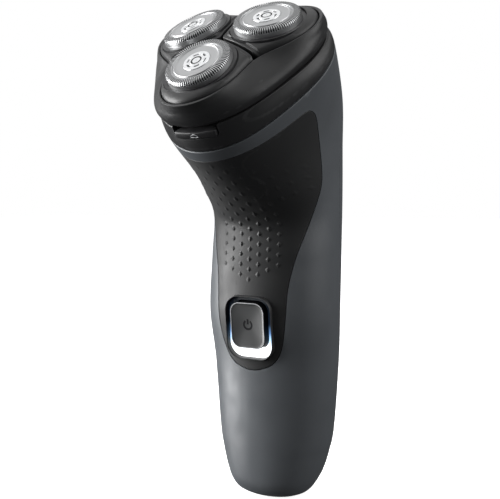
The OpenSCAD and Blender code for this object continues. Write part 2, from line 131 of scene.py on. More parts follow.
def spline(rows, u):
    """Catmull-Rom through the rows at the places u."""
    u = np.atleast_1d(np.asarray(u, float))
    i = np.clip(np.floor(u).astype(int), 0, len(rows) - 2)
    t = (u - i)[:, None]
    a, b = rows[np.maximum(i - 1, 0)], rows[i]
    c, d = rows[i + 1], rows[np.minimum(i + 2, len(rows) - 1)]
    return (
        b * (2 * t**3 - 3 * t**2 + 1)
        + (c - a) / 2 * (t**3 - 2 * t**2 + t)
        + c * (3 * t**2 - 2 * t**3)
        + (d - b) / 2 * (t**3 - t**2)
    )


def bow(v, m):
    """A superellipse's coordinate, of squareness m, from a sine or cosine."""
    return np.sign(v) * np.abs(v) ** (2 / m)


def handle_point(u, a, inset=0.0):
    """Points on the handle's surface at station u and angle a, drawn in by inset."""
    r = spline(HANDLE_ROWS, u)
    half = (r[:, 2:4] - r[:, 0:2]) / 2
    depth = np.linalg.norm(half, axis=1)
    way = half / depth[:, None]
    mid = (r[:, 2:4] + r[:, 0:2]) / 2
    m = np.where(np.cos(a) > 0, r[:, 5], r[:, 6])
    lobe = 1 + 0.075 * r[:, 7] * np.cos(3 * a)
    x = (r[:, 4] - inset) * bow(np.sin(a), m) * lobe
    v = (depth - inset) * (0.075 * r[:, 7] - bow(np.cos(a), m) * lobe)
    return np.stack([x, mid[:, 0] + v * way[:, 0], mid[:, 1] + v * way[:, 1]], 1)


def handle_rings(stations, around):
    """One ring of points for each (station, inset)."""
    a = np.linspace(0, 2 * math.pi, around, endpoint=False)
    return [handle_point(np.full(around, u), a, inset) for u, inset in stations]


def head_rings(rows, around, inset=0.0):
    """Rings round the head, in the head's own frame."""
    a = np.linspace(0, 2 * math.pi, around, endpoint=False)
    rings = []
    for n, slope, radius, lobe, oval, shift in rows:
        rad = (radius - inset) * (1 + lobe * np.cos(3 * a) + oval * np.cos(2 * a))
        y = shift - rad * np.cos(a)
        rings.append(np.stack([rad * np.sin(a), y, n + slope * y], 1))
    return rings


def tilted(points, angle, origin):
    """Points turned about X by angle, then moved to origin."""
    c, s = math.cos(angle), math.sin(angle)
    x, y, z = np.asarray(points, float).T
    return np.stack([x, c * y - s * z, s * y + c * z], 1) + origin


def spun(points, k):
    """Points turned about Z by k thirds of a turn."""
    c, s = math.cos(2 * math.pi * k / 3), math.sin(2 * math.pi * k / 3)
    x, y, z = np.asarray(points, float).T
    return np.stack([c * x - s * y, s * x + c * y, z], 1)


def from_head(points, k=0):
    """From the head's frame, turned to pod k, to the CAD frame."""
    return tilted(spun(points, k), HEAD_TILT, HEAD_CENTRE)


def from_cap(points, k):
    return from_head(tilted(points, CAP_TILT, [0, -CAP_DIST, 0]), k)


def from_button(points):
    return tilted(points, BUTTON_TILT, BUTTON_AT)


def rounded_rect(w, h, r, n=12):
    """A rounded rectangle in (x, z), counter-clockwise seen from +y looking to -y."""
    ring = []
    for cx, cz, start in ((1, 1, 0), (-1, 1, 90), (-1, -1, 180), (1, -1, 270)):
        for t in np.radians(np.linspace(start, start + 90, n)):
            ring.append([cx * (w / 2 - r) + r * math.cos(t), cz * (h / 2 - r) + r * math.sin(t)])
    return np.array(ring)


def rect_rings(profile, centre_z=0.0, n=12):
    """Rings in the button's frame from (width, height, corner, depth) rows."""
    rings = []
    for w, h, r, y in profile:
        flat = rounded_rect(w, h, r, n)
        rings.append(np.stack([flat[:, 0], np.full(len(flat), y), flat[:, 1] + centre_z], 1))
    return rings


# ---------------------------------------------------------------- mesh making


def loft_faces(rows, cols, closed):
    """Quads between rings of equal length, with flat caps or joined end to end."""
    faces = []
    for i in range(rows if closed else rows - 1):
        for j in range(cols):
            a, b = i * cols + j, i * cols + (j + 1) % cols
            c, d = (i + 1) % rows * cols + j, (i + 1) % rows * cols + (j + 1) % cols
            faces.append((a, b, d, c))
    if not closed:
        faces.append(tuple(range(cols - 1, -1, -1)))
        faces.append(tuple((rows - 1) * cols + j for j in range(cols)))
    return faces


def new_mesh(name, points, faces):
    mesh = bpy.data.meshes.new(name)
    mesh.from_pydata(np.asarray(points, float).tolist(), [], faces)
    mesh.validate()
    obj = bpy.data.objects.new(name, mesh)
    bpy.context.scene.collection.objects.link(obj)
    return obj


def loft(name, rings, closed=False):
    obj = new_mesh(name, np.concatenate(rings), loft_faces(len(rings), len(rings[0]), closed))
    make_outward(obj)
    return obj


def vertex_array(mesh):
    """The mesh's points, one row each."""
    co = np.empty(len(mesh.vertices) * 3)
    mesh.vertices.foreach_get("co", co)
    return co.reshape(-1, 3)


def move_points(obj, rule):
    """Moves every point of a shape by a rule from points to points."""
    obj.data.vertices.foreach_set("co", rule(vertex_array(obj.data)).ravel())
    obj.data.update()


def make_outward(obj):
    """Faces point outward, whichever way the rings ran."""
    mesh = obj.data
    mesh.calc_loop_triangles()
    co = vertex_array(mesh)
    tri = np.empty(len(mesh.loop_triangles) * 3, int)
    mesh.loop_triangles.foreach_get("vertices", tri)
    tri = tri.reshape(-1, 3)
    volume = np.einsum("ij,ij->i", co[tri[:, 0]], np.cross(co[tri[:, 1]], co[tri[:, 2]])).sum()
    if volume < 0:
        mesh.flip_normals()


def box_cutter(name, low, high):
    (x0, y0, z0), (x1, y1, z1) = low, high
    return loft(name, [np.array([[x0, y0, z], [x1, y0, z], [x1, y1, z], [x0, y1, z]]) for z in (z0, z1)])


def rod_y(radius, x, z, y0, y1, n=64):
    """A round rod along Y."""
    a = np.linspace(0, 2 * math.pi, n, endpoint=False)
    across, up = radius * np.cos(a) + x, radius * np.sin(a) + z
    return loft("rod", [np.stack([across, np.full(n, y), up], 1) for y in (y0, y1)])


def apply_modifiers(obj):
    graph = bpy.context.evaluated_depsgraph_get()
    mesh = bpy.data.meshes.new_from_object(obj.evaluated_get(graph))
    obj.modifiers.clear()
    old = obj.data
    obj.data = mesh
    bpy.data.meshes.remove(old)


def combine(obj, other, operation="DIFFERENCE"):
    """A boolean with another object, which is used up."""
    step = obj.modifiers.new("cut", "BOOLEAN")
    step.operation = operation
    step.solver = "MANIFOLD"
    step.object = other
    apply_modifiers(obj)
    bpy.data.objects.remove(other)
    return obj


def join(name, objects):
    """One mesh object from several, keeping each one's materials."""
    points, faces, index, materials = [], [], [], []
    start = 0
    for obj in objects:
        mesh = obj.data
        points.append(vertex_array(mesh))
        base = len(materials)
        materials.extend(mesh.materials[:] or [None])
        for face in mesh.polygons:
            faces.append([start + v for v in face.vertices])
            index.append(base + face.material_index)
        start += len(mesh.vertices)
        bpy.data.objects.remove(obj)
    whole = new_mesh(name, np.concatenate(points), faces)
    for material in materials:
        whole.data.materials.append(material)
    whole.data.polygons.foreach_set("material_index", index)
    return whole


def paint(obj, *materials):
    """Gives a shape these materials and no others."""
    obj.data.materials.clear()
    for material in materials:
        obj.data.materials.append(material)


def piece(obj, name, body, material, nodes, sharp=38):
    """Finishes a shape as a piece of the object: metres, smooth shading, finish and body."""
    obj.name = name
    obj.data.name = name
    obj.data.transform(Matrix.Scale(0.001, 4))
    obj.data.polygons.foreach_set("use_smooth", [True] * len(obj.data.polygons))
    obj.data.set_sharp_from_angle(angle=math.radians(sharp))
    if not any(obj.data.materials):
        paint(obj, material)
    obj.data.update()
    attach(obj, body)
    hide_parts(*nodes)


# ---------------------------------------------------------------- materials


class Nodes:
    """A material's node tree, with short calls for the nodes used here."""

    def __init__(self, name):
        self.material = bpy.data.materials.new(name)
        self.material.use_nodes = True
        self.tree = self.material.node_tree
        self.shader = self.tree.nodes["Principled BSDF"]
        self.coords = self.add("ShaderNodeTexCoord")

    def add(self, kind, **values):
        node = self.tree.nodes.new(kind)
        for key, value in values.items():
            setattr(node, key, value)
        return node

    def link(self, a, b):
        self.tree.links.new(a, b)

    def set(self, **values):
        for key, value in values.items():
            self.shader.inputs[key.replace("_", " ")].default_value = value

    def noise(self, scale, detail, stretch=None):
        noise = self.add("ShaderNodeTexNoise")
        noise.inputs["Scale"].default_value = scale
        noise.inputs["Detail"].default_value = detail
        source = self.coords.outputs["Object"]
        if stretch is not None:
            mapping = self.add("ShaderNodeMapping")
            mapping.inputs["Scale"].default_value = stretch
            self.link(source, mapping.inputs["Vector"])
            source = mapping.outputs["Vector"]
        self.link(source, noise.inputs["Vector"])
        return noise.outputs["Fac"]

    def ramp(self, source, low, high, start=0.3, end=0.7):
        node = self.add("ShaderNodeMapRange")
        self.link(source, node.inputs["Value"])
        for key, value in (("From Min", start), ("From Max", end), ("To Min", low), ("To Max", high)):
            node.inputs[key].default_value = value
        return node.outputs["Result"]

    def mix(self, factor, a, b):
        node = self.add("ShaderNodeMix", data_type="RGBA")
        self.link(factor, node.inputs["Factor"])
        for socket, value in ((node.inputs["A"], a), (node.inputs["B"], b)):
            if isinstance(value, tuple):
                socket.default_value = (*value, 1)
            else:
                self.link(value, socket)
        return node.outputs["Result"]

    def bump(self, height, strength, distance, normal=None):
        node = self.add("ShaderNodeBump")
        node.inputs["Strength"].default_value = strength
        node.inputs["Distance"].default_value = distance
        self.link(height, node.inputs["Height"])
        if normal is not None:
            self.link(normal, node.inputs["Normal"])
        return node.outputs["Normal"]

    def worn(self, edge_end, spots):
        """How rubbed each place is: the sharper the edge the more, broken up by spots."""
        sharpness = self.add("ShaderNodeNewGeometry").outputs["Pointiness"]
        gain = self.add("ShaderNodeMath", operation="MULTIPLY")
        self.link(self.ramp(sharpness, 0.0, 1.0, 0.505, edge_end), gain.inputs[0])
        self.link(spots, gain.inputs[1])
        return gain.outputs[0]


def shade(colour, gain, lift=0.0):
    """A lighter or darker tone of a colour."""
    return tuple(min(c * gain + lift, 1) for c in colour)


def plastic(name, colour, rough, grain=2600, grain_strength=0.12, worn=1.35, specular=0.5):
    """Moulded plastic: fine spark-eroded grain, faint tone drift, and slightly polished edges."""
    n = Nodes(name)
    base = n.mix(n.ramp(n.noise(55, 4), 0, 1), shade(colour, 0.93), shade(colour, 1.07))
    rubbed = n.worn(0.56, n.ramp(n.noise(420, 4), 0.35, 1.0, 0.35, 0.65))
    n.link(n.mix(rubbed, base, shade(colour, worn, 0.004)), n.shader.inputs["Base Color"])
    n.link(n.ramp(n.noise(160, 5), rough - 0.08, rough + 0.08), n.shader.inputs["Roughness"])
    n.link(n.bump(n.noise(grain, 3), grain_strength, 0.00004), n.shader.inputs["Normal"])
    n.set(IOR=1.5, Specular_IOR_Level=specular)
    return n.material


def soft_touch(name, colour):
    """Rubbery soft-touch coat: matt, with a faint bloom and fine pores."""
    n = Nodes(name)
    base = n.mix(n.ramp(n.noise(45, 4), 0, 1), shade(colour, 0.9), shade(colour, 1.1))
    rubbed = n.worn(0.57, n.ramp(n.noise(230, 5), 0.2, 1.0, 0.4, 0.7))
    n.link(n.mix(rubbed, base, shade(colour, 1.8)), n.shader.inputs["Base Color"])
    n.link(n.ramp(n.noise(120, 5), 0.46, 0.6), n.shader.inputs["Roughness"])
    pores = n.bump(n.noise(3400, 2), 0.2, 0.00004)
    n.link(n.bump(n.noise(500, 3), 0.05, 0.0001, pores), n.shader.inputs["Normal"])
    n.set(IOR=1.48, Specular_IOR_Level=0.38, Sheen_Weight=0.1, Sheen_Roughness=0.45)
    return n.material


def metal(name, colour, rough, brush=(1, 1, 1), scale=900, strength=0.15):
    """Brushed or ground metal. brush squeezes the lines along each axis."""
    n = Nodes(name)
    lines = n.noise(scale, 4, brush)
    tone = n.mix(n.ramp(lines, 0, 1), shade(colour, 0.82), shade(colour, 1.1))
    n.link(tone, n.shader.inputs["Base Color"])
    n.link(n.ramp(n.noise(300, 5, brush), rough - 0.07, rough + 0.07), n.shader.inputs["Roughness"])
    n.link(n.bump(lines, strength, 0.00003), n.shader.inputs["Normal"])
    n.set(Metallic=1.0, IOR=2.4)
    return n.material


def turned_metal(name, colour, rough, lines=260):
    """Metal turned on a lathe: fine rings, from the piece's own angle and radius map."""
    n = Nodes(name)
    uv = n.add("ShaderNodeMapping")
    uv.inputs["Scale"].default_value = (0, lines, 1)
    n.link(n.coords.outputs["UV"], uv.inputs["Vector"])
    noise = n.add("ShaderNodeTexNoise")
    noise.inputs["Scale"].default_value = 1.0
    noise.inputs["Detail"].default_value = 4
    n.link(uv.outputs["Vector"], noise.inputs["Vector"])
    rings = noise.outputs["Fac"]
    tone = n.mix(n.ramp(rings, 0, 1), shade(colour, 0.86), shade(colour, 1.08))
    n.link(tone, n.shader.inputs["Base Color"])
    n.link(n.ramp(rings, rough - 0.05, rough + 0.08), n.shader.inputs["Roughness"])
    n.link(n.bump(rings, 0.12, 0.00003), n.shader.inputs["Normal"])
    n.set(Metallic=1.0, IOR=2.4)
    return n.material


# The lit ring's colours, from its foot (0) to its top (1): the ring's own glow, white and bluish, falling to
# black towards the top as painted shade of the recess's deep top.
GLOW_AND_SHADE_STOPS = (
    (0.0, (1.0, 1.0, 1.0)),
    (0.17, (0.92, 0.97, 1.0)),
    (0.28, (0.42, 0.68, 0.98)),
    (0.4, (0.08, 0.17, 0.34)),
    (0.54, (0.004, 0.008, 0.016)),
    (1.0, (0.0, 0.0, 0.0)),
)


def glow_and_shade_ring(name):
    """The lit ring: its own glow, white at the bottom and bluish up the sides, darkened at the top as
    painted shade.
    """
    n = Nodes(name)
    place = n.add("ShaderNodeSeparateXYZ")
    n.link(n.coords.outputs["Object"], place.inputs["Vector"])
    ramp = n.add("ShaderNodeValToRGB")
    low, high = ((BUTTON_AT[2] + end) / 1000 for end in LED_SPAN)
    n.link(n.ramp(place.outputs["Z"], 0, 1, low, high), ramp.inputs["Fac"])
    elements = ramp.color_ramp.elements
    for element, (at, colour) in zip(elements, (GLOW_AND_SHADE_STOPS[0], GLOW_AND_SHADE_STOPS[-1])):
        element.position, element.color = at, (*colour, 1)
    for at, colour in GLOW_AND_SHADE_STOPS[1:-1]:
        elements.new(at).color = (*colour, 1)
    n.link(ramp.outputs["Color"], n.shader.inputs["Emission Color"])
    n.link(n.ramp(n.noise(900, 3), 0.3, 0.5), n.shader.inputs["Roughness"])
    # The base colour is pale only at the foot and near-black above, part of the same painted shade.
    rise = n.ramp(place.outputs["Z"], 0, 1, low, low + 0.011)
    n.link(n.mix(rise, (0.85, 0.9, 0.95), (0.03, 0.035, 0.04)), n.shader.inputs["Base Color"])
    n.set(Emission_Strength=1.7)
    return n.material


MATERIALS = {
    "shell_grey": plastic("shell_grey", (0.096, 0.1035, 0.112), 0.46, grain_strength=0.16),
    "grip_black": soft_touch("grip_black", (0.0175, 0.0178, 0.0182)),
    "gloss_black": plastic("gloss_black", (0.016, 0.0162, 0.0168), 0.46, 3000, 0.08, 2.2),
    "black_plastic": plastic("black_plastic", (0.014, 0.014, 0.015), 0.45, worn=1.8),
    "steel": metal("steel", (0.62, 0.63, 0.64), 0.3, (1, 1, 6)),
    "hub_chrome": turned_metal("hub_chrome", (0.88, 0.89, 0.9), 0.27, 120),
    "frame_grey": plastic("frame_grey", (0.05, 0.053, 0.058), 0.5),
    "chassis_metal": metal("chassis_metal", (0.42, 0.43, 0.45), 0.45, (1, 1, 1), 400, 0.2),
    "battery_wrap": plastic("battery_wrap", (0.06, 0.16, 0.4), 0.32, 800, 0.05),
    "board_green": plastic("board_green", (0.02, 0.14, 0.06), 0.38, 700, 0.15),
    "light_white": glow_and_shade_ring("light_white"),
    "brass": metal("brass", (0.72, 0.53, 0.24), 0.28, (1, 1, 5)),
    "gear_nylon": plastic("gear_nylon", (0.72, 0.69, 0.6), 0.42, 1500, 0.08),
}
CAP_STEEL = turned_metal("cap_steel", (0.48, 0.485, 0.49), 0.42)
# Near-black with little shine: painted shade in the cap slots, on the power key's sides and on the flange
# behind the release key, and the printed power mark.
SHADE_AND_PRINT_BLACK = plastic("painted_shade_and_print_black", (0.005, 0.005, 0.006), 0.6, specular=0.12)
# Near-black for the hub's sunk ring and sunk arc floors.
HUB_SUNK_BLACK = plastic("hub_sunk_black", (0.01, 0.01, 0.011), 0.55)
# Light grey on the crown of the power key's rim: a painted highlight line.
PAINTED_EDGE_HIGHLIGHT = plastic("painted_edge_highlight", (0.42, 0.43, 0.44), 0.35)
MARK_GREY = plastic("mark_grey", (0.5, 0.51, 0.52), 0.45)
BUTTON_BLACK = plastic("button_black", (0.038, 0.039, 0.04), 0.42, grain_strength=0.1)


# ---------------------------------------------------------------- the handle


def even(u0, u1, steps, inset):
    return [(u, inset) for u in np.linspace(u0, u1, steps)]


def rounded_end(radius, pitch):
    """(Distance from the end in u, inset) round an edge, from the end inward."""
    turn = np.radians(np.linspace(90, 0, 7))
    return [(radius * (1 - math.sin(t)) / pitch, radius * (1 - math.cos(t))) for t in turn]


def rolled(u0, u1, steps, pitch, low_r, high_r):
    """Stations from u0 to u1 with rounded ends. pitch is millimetres along the surface for one u."""
    low = [(u0 + du, inset) for du, inset in rounded_end(low_r, pitch)] if low_r else [(u0, 0.0)]
    high = [(u1 - du, inset) for du, inset in reversed(rounded_end(high_r, pitch))]
    return low[:-1] + even(low[-1][0], high[0][0], steps, 0.0) + high[1:]


def handle_solid(name, stations, around=320):
    return loft(name, handle_rings(stations, around))


def surface_frame(u, a):
    """Points on the handle with the two directions along it and the outward normal."""
    p = handle_point(u, a)
    along_u = (handle_point(u + 1e-4, a) - p) * 1e4
    along_a = (handle_point(u, a + 1e-4) - p) * 1e4
    normal = np.cross(along_a, along_u)
    return p, along_u, along_a, normal / np.linalg.norm(normal, axis=1)[:, None]


def dots(a, b):
    return np.einsum("ij,ij->i", a, b)


def grip_edge(gap):
    """The right half of the grip's edge as (station, angle), moved outward on the surface by gap."""
    knots = GRIP_EDGE * np.array([1, math.pi / 180])
    mirror = np.array([1, -1])
    knots = np.concatenate([knots[1:2] * mirror, knots, knots[-2:-1] * mirror])
    edge = spline(knots, np.linspace(1, len(knots) - 2, STEPS_PER_KNOT * (len(GRIP_EDGE) - 1) + 1))
    p, along_u, along_a, normal = surface_frame(edge[:, 0], edge[:, 1])
    way = np.gradient(p, axis=0)
    way /= np.linalg.norm(way, axis=1)[:, None]
    out = np.cross(way, normal) * gap
    uu, ua, aa = dots(along_u, along_u), dots(along_u, along_a), dots(along_a, along_a)
    bu, ba = dots(along_u, out), dots(along_a, out)
    det = uu * aa - ua * ua
    return edge + np.stack([(bu * aa - ba * ua) / det, (ba * uu - bu * ua) / det], 1)


def resampled(edge, places):
    """Points of an edge at fractions of its length on the surface."""
    p = handle_point(edge[:, 0], edge[:, 1])
    run = np.concatenate([[0], np.cumsum(np.linalg.norm(np.diff(p, axis=0), axis=1))])
    return np.stack([np.interp(places * run[-1], run, edge[:, i]) for i in range(2)], 1)


def close_ended(count, finest):
    """Fractions from 0 to 1, closer together toward both ends."""
    ends = finest * np.array([0, 1, 2.5, 4.5, 7, 10])
    return np.concatenate([ends, np.linspace(finest * 14, 1 - finest * 14, count - 12), 1 - ends[::-1]])


def grip_patch(gap, across, up):
    """Stations and angles of a grid over the grip: a surface stretched between its four edges."""
    edge = grip_edge(gap)
    low, high = (STEPS_PER_KNOT * c for c in GRIP_CORNERS)
    mirror = np.array([1, -1])
    s, t = close_ended(across, 0.0012), close_ended(up, 0.0005)
    foot = edge[:low + 1]
    foot = resampled(np.concatenate([(foot * mirror)[::-1][:-1], foot]), s)
    top = resampled(np.concatenate([edge[high:] * mirror, edge[high:][::-1][1:]]), s)
    side = resampled(edge[low:high + 1], t)
    s, t = s[None, :, None], t[:, None, None]
    left = side * mirror
    grid = (
        (1 - s) * left[:, None] + s * side[:, None] + (1 - t) * foot[None] + t * top[None]
        - (1 - s) * (1 - t) * foot[0] - s * (1 - t) * foot[-1] - (1 - s) * t * top[0] - s * t * top[-1]
    )
    return grid[..., 0].ravel(), grid[..., 1].ravel()


def sheet_solid(name, outer, inner, across, up):
    """A closed solid from two grids of points, one over the other."""
    count = len(outer)
    faces = []
    for i in range(up - 1):
        for j in range(across - 1):
            a, b = i * across + j, i * across + j + 1
            faces.append((a, b, b + across, a + across))
            faces.append((count + a, count + a + across, count + b + across, count + b))
    rim = [
        *range(across),
        *(i * across + across - 1 for i in range(1, up)),
        *((up - 1) * across + j for j in range(across - 2, -1, -1)),
        *(i * across for i in range(up - 2, 0, -1)),
    ]
    for a, b in zip(rim, rim[1:] + rim[:1]):
        faces.append((b, a, count + a, count + b))
    obj = new_mesh(name, np.concatenate([outer, inner]), faces)
    make_outward(obj)
    return obj


def grip_recess():
    """The room cut out of the front shell for the grip."""
    across, up = 120, 220
    p, _, _, normal = surface_frame(*grip_patch(0.05, across, up))
    return sheet_solid("recess", p + normal * 1.2, p - normal * (GRIP_THICK + 0.06), across, up)


def window_prism(gap):
    w, h, corner = WINDOW
    rings = rect_rings([(w + gap, h + gap, corner, y) for y in (-8.0, 7.0)], RECESS_Z)
    return loft("window", [from_button(r) for r in rings])


def inlet_prism():
    flat = rounded_rect(15.4, 10.2, 5.05, 16)
    rings = [np.stack([flat[:, 0], flat[:, 1] + INLET_Y, np.full(len(flat), z)], 1) for z in (-2.0, 12.0)]
    return loft("inlet", rings)


HANDLE_STATIONS = rolled(0, 12, 300, 14.5, 0, 0.35)


def handle_hollow():
    return handle_solid("hollow", even(1.35, 12.6, 70, WALL), 160)


def make_front_housing():
    body = handle_solid("front", HANDLE_STATIONS)
    combine(body, handle_hollow())
    combine(body, box_cutter("rear_half", (-60, SPLIT_Y - 0.07, -5), (60, 60, 200)))
    combine(body, grip_recess())
    combine(body, window_prism(0))
    combine(body, inlet_prism())
    piece(body, "front_shell", "handle", MATERIALS["shell_grey"], ["front_housing"])


def make_rear_housing():
    body = handle_solid("rear", HANDLE_STATIONS)
    combine(body, handle_hollow())
    places = [(x, z) for x in (-11.5, 11.5) for z in (30, 92)]
    for x, z in places:
        within = handle_solid("within", even(1, 12, 60, 0.3), 160)
        combine(body, combine(rod_y(3.4, x, z, 3.2, 40), within, "INTERSECT"), "UNION")
    combine(body, box_cutter("front_half", (-60, -80, -5), (60, SPLIT_Y + 0.07, 200)))
    for x, z in places:
        combine(body, rod_y(1.35, x, z, 0, 12))
        combine(body, rod_y(2.65, x, z, 8, 40))
    piece(body, "rear_shell", "handle", MATERIALS["shell_grey"], ["rear_housing"])


def bump_height(x, z):
    """Small diamond pips on a staggered lattice, largest under the neck and fading outward."""
    pitch_x, pitch_z, foot = 3.3, 3.25, 74.2
    height = np.zeros(len(x))
    for column in range(-6, 7):
        cx = column * pitch_x
        phase = pitch_z / 2 if column % 2 else 0.0
        row = np.round((z - foot - phase) / pitch_z)
        cz = foot + phase + row * pitch_z
        reach = np.interp(cz, [73, 75.5, 79, 96, 103, 110], [2.0, 6.8, 10.2, 10.6, 20.0, 20.5])
        size = np.interp(cz, [74, 80, 90, 97, 104, 110], [0.6, 0.9, 1.0, 0.75, 0.5, 0.3])
        size = size * (1 - 0.65 * (abs(cx) / 20))
        on = (abs(cx) <= reach) & (cz > 73.5) & (cz < 110.5)
        rise = np.clip(1 - np.abs(x - cx) / 0.85 - np.abs(z - cz) / 0.95, 0, 1)
        rise = np.minimum(rise * 1.5, 0.85 + 0.15 * rise)
        height = np.maximum(height, np.where(on, 0.36 * size * rise, 0))
    return height


def make_grip():
    """The soft grip, with a rounded edge and pips. The distance to its edge shapes both."""
    across, up, samples, round_r = 270, 500, 3000, 0.42
    points, _, _, normals = surface_frame(*grip_patch(-0.04, across, up))
    right = grip_edge(-0.04)
    rim = KDTree(2 * samples)
    for i, sign in enumerate((1, -1)):
        for j, (u, a) in enumerate(resampled(right * np.array([1, sign]), np.linspace(0, 1, samples))):
            rim.insert(handle_point(u, np.array([a]))[0], i * samples + j)
    rim.balance()
    edge = np.array([rim.find(p)[2] for p in points])
    near = np.clip(round_r - edge, 0, round_r)
    drop = round_r - np.sqrt(np.maximum(round_r**2 - near**2, 0))
    rise = bump_height(points[:, 0], points[:, 2]) * np.clip(edge, 0, 1)
    outer = points + normals * (rise - drop)[:, None]
    grip = sheet_solid("grip", outer, points - normals * GRIP_THICK, across, up)
    combine(grip, window_prism(0.1))
    piece(grip, "soft_grip", "handle", MATERIALS["grip_black"], ["grip_panel"], 50)


def make_neck_ring():
    body = handle_solid("ring", rolled(12.03, 13.0, 40, 8.6, 0.35, 0.35), 360)
    combine(body, handle_solid("bore", even(11.6, 13.5, 8, WALL), 180))
    tongue = handle_solid("tongue", even(11.72, 12.6, 8, WALL - 0.1), 180)
    combine(tongue, handle_solid("inside", even(11.6, 12.8, 8, WALL + 0.7), 180))
    combine(body, tongue, "UNION")
    slot = rect_rings([(15.4, 4.6, 1.1, y) for y in (-40.0, -21.0)], -14.9)
    combine(body, loft("slot", [from_head(r) for r in slot]))
    gap = box_cutter("hinge_gap", (-8.4, 26.6, -15.6), (8.4, 40, -5))
    move_points(gap, from_head)
    combine(body, gap)
    piece(body, "collar_ring", "handle", MATERIALS["gloss_black"], ["neck_ring"])


# ---------------------------------------------------------------- the power button


def make_bezel():
    """A thin rolled rim round the recess, with a floor behind the lit ring."""
    profile = [
        (17.2, 21.1, 5.15, 4.5), (17.2, 21.1, 5.15, 0.1), (17.15, 21.05, 5.13, -0.12),
        (17.02, 20.92, 5.08, -0.25), (16.85, 20.75, 5.0, -0.3), (16.68, 20.58, 4.95, -0.24),
        (16.5, 20.4, 4.9, -0.05), (16.4, 20.3, 4.88, 0.3), (16.3, 20.2, 4.85, 3.8),
        (14.3, 18.2, 4.0, 3.85), (14.3, 18.2, 4.0, 4.5),
    ]
    body = loft("bezel", [from_button(r) for r in rect_rings(profile, RECESS_Z, 20)], closed=True)
    piece(body, "button_frame", "handle", MATERIALS["gloss_black"], ["button_bezel"])


def make_light_ring():
    outer = [(16.2, 20.1, 4.82, 3.6), (16.2, 20.1, 4.82, LED_FACE + 0.15), (16.05, 19.95, 4.75, LED_FACE)]
    inner = [(13.4, 16.0, 3.7, LED_FACE), (13.25, 15.85, 3.65, LED_FACE + 0.2), (13.2, 15.8, 3.6, 3.6)]
    rings = rect_rings(outer, RECESS_Z, 20) + rect_rings(inner, 0, 20)
    body = loft("light", [from_button(r) for r in rings], closed=True)
    piece(body, "lit_ring", "handle", MATERIALS["light_white"], ["light_ring"])


def make_power_button():
    """A skirted key with near-black sides, painted shade of the gap round it, a painted highlight line round
    its face, a dished middle and a stem.
    """
    w, h, face = 12.5, 15.1, BUTTON_FACE
    side = [
        (w + 1.2, h + 1, 3.5, 4.4), (w + 1.2, h + 1, 3.5, 3.8), (w, h, 3.3, 3.7), (w, h, 3.3, face + 0.5),
        (w - 0.05, h - 0.05, 3.27, face + 0.22),
    ]
    lip = [
        (w - 0.16, h - 0.16, 3.2, face + 0.07), (w - 0.34, h - 0.34, 3.1, face),
        (w - 0.6, h - 0.6, 3.0, face + 0.01), (w - 0.9, h - 0.9, 2.9, face + 0.06),
    ]
    dish = []
    for s in np.linspace(0, 1, 16)[:-1]:
        r = 1 - s
        dish.append(((w - 1.2) * r, (h - 1.2) * r, 2.75 * r, dish_level(r)))
    rings = rect_rings(side + lip + dish, 0, 16)
    body = loft("button", [from_button(r) for r in rings])
    paint(body, BUTTON_BLACK, PAINTED_EDGE_HIGHLIGHT, SHADE_AND_PRINT_BLACK)
    # The sides are painted near-black as shade in the gap round the key; the two face rings on the rim's
    # crown are painted light grey as a highlight.
    shaded_side_faces, highlight_faces = len(side) * len(rings[0]), 2 * len(rings[0])
    index = np.zeros(len(body.data.polygons), int)
    index[:shaded_side_faces] = 2
    index[shaded_side_faces : shaded_side_faces + highlight_faces] = 1
    body.data.polygons.foreach_set("material_index", index)
    stem = rod_y(2, 0, 0, 4.3, 4.8, 40)
    move_points(stem, from_button)
    paint(stem, BUTTON_BLACK)
    mark = power_mark()
    paint(mark, SHADE_AND_PRINT_BLACK)
    whole = join("button", [body, stem, mark])
    piece(whole, "power_key_cap", "power_key", BUTTON_BLACK, ["power_button"], 30)


def dish_level(r):
    """Level of the button's dished face, at a fraction of the way out to its rim."""
    return BUTTON_FACE + 0.12 + 0.35 * (1 - r**2)


def dish_depth(x, z):
    return dish_level(np.maximum(np.abs(x) / 5.5, np.abs(z) / 6.8))


def ribbon(centre, half, depth, lift):
    """A flat raised stroke along a line of (x, z) points in the button's frame."""
    way = np.gradient(centre, axis=0)
    way /= np.linalg.norm(way, axis=1)[:, None]
    across = np.stack([-way[:, 1], way[:, 0]], 1) * half
    rings = []
    for c, n in zip(centre, across):
        corners = np.array([c - n, c - n * 0.8, c + n * 0.8, c + n, c])
        y = depth(corners[:, 0], corners[:, 1]) - np.array([0, lift, lift, 0, -0.15])
        rings.append(np.stack([corners[:, 0], y, corners[:, 1]], 1))
    return rings


def power_mark():
    """An open circle with a bar through its gap."""
    turn = np.radians(np.linspace(35, 325, 60))
    arc = np.stack([np.sin(turn), np.cos(turn)], 1) * 1.45 + np.array([0, 0.2])
    bar = np.stack([np.zeros(12), np.linspace(0.35, 2.1, 12)], 1)
    strokes = [ribbon(line, 0.34, dish_depth, 0.05) for line in (arc, bar)]
    return join("mark", [loft("stroke", [from_button(r) for r in stroke]) for stroke in strokes])


# ---------------------------------------------------------------- release button


def key_front(x):
    return -math.sqrt(KEY_FRONT_R**2 - x**2)


